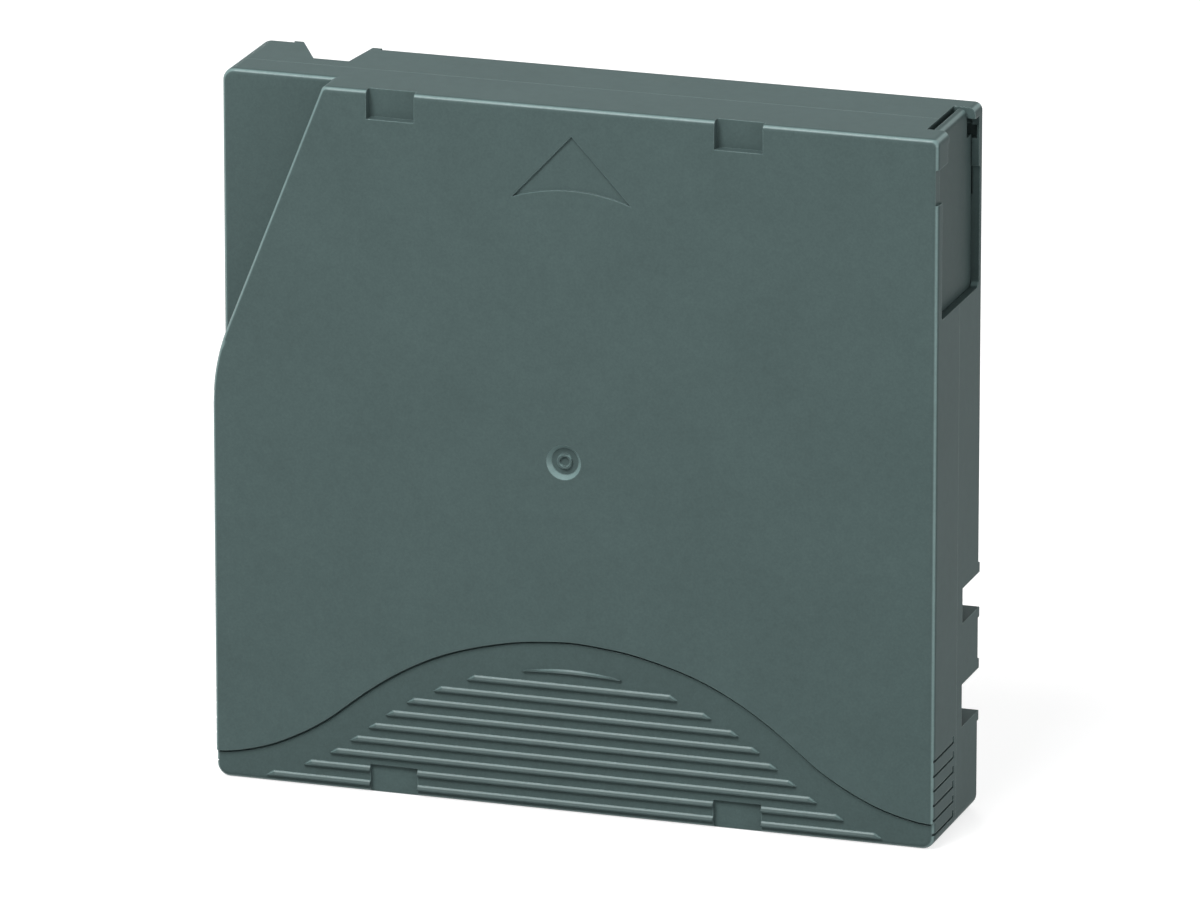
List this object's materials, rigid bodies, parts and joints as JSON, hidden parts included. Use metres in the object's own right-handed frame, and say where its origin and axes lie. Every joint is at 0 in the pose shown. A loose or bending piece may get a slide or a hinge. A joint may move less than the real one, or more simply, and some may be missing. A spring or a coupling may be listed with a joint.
{
  "type": "data tape cartridge",
  "caption": "Flat square half-inch tape cartridge: two-part case with a sliding door, one locked reel of tape and a leader pin.",
  "frame": {"origin": "centre of the rear edge's footprint, on the surface the cartridge stands on", "axes": "+Z from the rear (label) edge to the leading edge, +X to the door side, -Y out of the upper shell's face"},
  "size_m": [0.1054, 0.0216, 0.102],
  "materials": {
    "shell": "fine spark-eroded texture, dark green-grey",
    "door": "fine texture, dark green-grey",
    "reel_plastic": "natural pale grey moulding",
    "brake_plastic": "off-white low-friction moulding",
    "clip_plastic": "black sprung clip",
    "tab_plastic": "dull red-orange slider",
    "tape_film": "dark coated film, edges of the winding",
    "spring_steel": "bright drawn wire and strip",
    "pin_steel": "turned stainless",
    "washer_steel": "stamped magnetic stainless",
    "screw_steel": "dark zinc",
    "circuit_board": "green solder mask",
    "chip_black": "moulded black package"
  },
  "bodies": {
    "case": {"upper_shell": "shell", "lower_shell": "shell", "door_spring": "spring_steel", "brake_spring": "spring_steel", "leader_pin": "pin_steel", "pin_clamp": "clip_plastic", "pin_spring": "spring_steel", "tape_leader": "tape_film", "memory_board": "circuit_board", "memory_chip": "chip_black", "case_screw_1": "screw_steel", "case_screw_2": "screw_steel", "case_screw_3": "screw_steel", "case_screw_4": "screw_steel", "case_screw_5": "screw_steel"},
    "door": {"door": "door"},
    "reel": {"reel_hub": "reel_plastic", "upper_flange": "reel_plastic", "hub_plate": "washer_steel", "tape_pack": "tape_film"},
    "brake": {"brake_button": "brake_plastic"},
    "spider": {"release_spider": "brake_plastic"},
    "tab": {"write_protect_tab": "tab_plastic"}
  },
  "joints": [
    {"name": "door_slide", "type": "slide", "parent": "case", "child": "door", "axis": [0, 0, -1], "range_m": [0, 0.022], "stiffness_N_per_m": 20, "springref_m": -0.03, "deforming": ["door_spring"]},
    {"name": "reel_spin", "type": "hinge", "parent": "case", "child": "reel", "pos_m": [-0.00105, 0, 0.0511], "axis": [0, 1, 0], "continuous": true},
    {"name": "brake_lift", "type": "slide", "parent": "case", "child": "brake", "axis": [0, -1, 0], "range_m": [0, 0.0022], "stiffness_N_per_m": 500, "springref_m": -0.008, "deforming": ["brake_spring"]},
    {"name": "spider_lift", "type": "slide", "parent": "reel", "child": "spider", "axis": [0, -1, 0], "range_m": [0, 0.0022]},
    {"name": "tab_slide", "type": "slide", "parent": "case", "child": "tab", "axis": [1, 0, 0], "range_m": [0, 0.0045]}
  ],
  "couplings": [
    {"joint": "spider_lift", "follows": "brake_lift", "ratio": 1}
  ]
}
